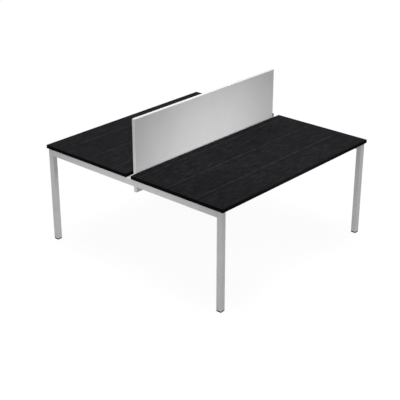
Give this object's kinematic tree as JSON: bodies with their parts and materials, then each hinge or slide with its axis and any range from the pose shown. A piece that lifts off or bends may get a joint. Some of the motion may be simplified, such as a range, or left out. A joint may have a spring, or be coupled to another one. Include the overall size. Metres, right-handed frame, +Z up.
{
  "type": "benching desk for two",
  "caption": "Back-to-back bench desk: dark wood-grain worktops on a silver square-tube frame with levelling feet, and a light screen standing in the gap between them.",
  "frame": {"origin": "on the floor, under the middle of the desk", "axes": "+X along the worktops from left to right, +Y from the near user to the far user, +Z up"},
  "size_m": [1.6, 1.647, 1.114],
  "materials": {
    "worktop_board": "satin dark wood-grain melamine",
    "worktop_edging": "satin black plastic edging",
    "screen_board": "satin pale grey melamine",
    "screen_edging": "satin white plastic edging",
    "frame_paint": "silver grey powder coat",
    "zinc_steel": "bright zinc plated steel",
    "foot_plastic": "dark grey moulded plastic"
  },
  "bodies": {
    "desk": {"near_worktop": "worktop_board", "near_worktop_edging": "worktop_edging", "far_worktop": "worktop_board", "far_worktop_edging": "worktop_edging", "screen": "screen_board", "screen_edging": "screen_edging", "left_crossbar": "frame_paint", "left_screen_bracket": "frame_paint", "left_screen_bolt_1": "zinc_steel", "left_screen_bolt_2": "zinc_steel", "right_crossbar": "frame_paint", "right_screen_bracket": "frame_paint", "right_screen_bolt_1": "zinc_steel", "right_screen_bolt_2": "zinc_steel", "near_left_leg": "frame_paint", "near_left_foot_insert": "foot_plastic", "far_left_leg": "frame_paint", "far_left_foot_insert": "foot_plastic", "near_right_leg": "frame_paint", "near_right_foot_insert": "foot_plastic", "far_right_leg": "frame_paint", "far_right_foot_insert": "foot_plastic", "near_outer_rail": "frame_paint", "near_outer_rail_left_bolt_1": "zinc_steel", "near_outer_rail_left_bolt_2": "zinc_steel", "near_outer_rail_left_screw": "zinc_steel", "near_outer_rail_right_bolt_1": "zinc_steel", "near_outer_rail_right_bolt_2": "zinc_steel", "near_outer_rail_right_screw": "zinc_steel", "near_inner_rail": "frame_paint", "near_inner_rail_left_bolt_1": "zinc_steel", "near_inner_rail_left_bolt_2": "zinc_steel", "near_inner_rail_left_screw": "zinc_steel", "near_inner_rail_right_bolt_1": "zinc_steel", "near_inner_rail_right_bolt_2": "zinc_steel", "near_inner_rail_right_screw": "zinc_steel", "far_outer_rail": "frame_paint", "far_outer_rail_left_bolt_1": "zinc_steel", "far_outer_rail_left_bolt_2": "zinc_steel", "far_outer_rail_left_screw": "zinc_steel", "far_outer_rail_right_bolt_1": "zinc_steel", "far_outer_rail_right_bolt_2": "zinc_steel", "far_outer_rail_right_screw": "zinc_steel", "far_inner_rail": "frame_paint", "far_inner_rail_left_bolt_1": "zinc_steel", "far_inner_rail_left_bolt_2": "zinc_steel", "far_inner_rail_left_screw": "zinc_steel", "far_inner_rail_right_bolt_1": "zinc_steel", "far_inner_rail_right_bolt_2": "zinc_steel", "far_inner_rail_right_screw": "zinc_steel"},
    "near_left_pad": {"near_left_foot_pad": "foot_plastic"},
    "near_left_stud": {"near_left_foot_stud": "zinc_steel"},
    "far_left_pad": {"far_left_foot_pad": "foot_plastic"},
    "far_left_stud": {"far_left_foot_stud": "zinc_steel"},
    "near_right_pad": {"near_right_foot_pad": "foot_plastic"},
    "near_right_stud": {"near_right_foot_stud": "zinc_steel"},
    "far_right_pad": {"far_right_foot_pad": "foot_plastic"},
    "far_right_stud": {"far_right_foot_stud": "zinc_steel"}
  },
  "joints": [
    {"name": "near_left_foot_height", "type": "slide", "parent": "desk", "child": "near_left_pad", "axis": [0, 0, -1], "range_m": [0, 0.015]},
    {"name": "near_left_foot_turn", "type": "hinge", "parent": "near_left_pad", "child": "near_left_stud", "pos_m": [-0.774, -0.7895, 0], "axis": [0, 0, -1], "range_deg": [0, 3600]},
    {"name": "far_left_foot_height", "type": "slide", "parent": "desk", "child": "far_left_pad", "axis": [0, 0, -1], "range_m": [0, 0.015]},
    {"name": "far_left_foot_turn", "type": "hinge", "parent": "far_left_pad", "child": "far_left_stud", "pos_m": [-0.774, 0.7895, 0], "axis": [0, 0, -1], "range_deg": [0, 3600]},
    {"name": "near_right_foot_height", "type": "slide", "parent": "desk", "child": "near_right_pad", "axis": [0, 0, -1], "range_m": [0, 0.015]},
    {"name": "near_right_foot_turn", "type": "hinge", "parent": "near_right_pad", "child": "near_right_stud", "pos_m": [0.774, -0.7895, 0], "axis": [0, 0, -1], "range_deg": [0, 3600]},
    {"name": "far_right_foot_height", "type": "slide", "parent": "desk", "child": "far_right_pad", "axis": [0, 0, -1], "range_m": [0, 0.015]},
    {"name": "far_right_foot_turn", "type": "hinge", "parent": "far_right_pad", "child": "far_right_stud", "pos_m": [0.774, 0.7895, 0], "axis": [0, 0, -1], "range_deg": [0, 3600]}
  ],
  "couplings": [
    {"joint": "near_left_foot_turn", "follows": "near_left_foot_height", "rad_per_m": 4188.8},
    {"joint": "far_left_foot_turn", "follows": "far_left_foot_height", "rad_per_m": 4188.8},
    {"joint": "near_right_foot_turn", "follows": "near_right_foot_height", "rad_per_m": 4188.8},
    {"joint": "far_right_foot_turn", "follows": "far_right_foot_height", "rad_per_m": 4188.8}
  ]
}
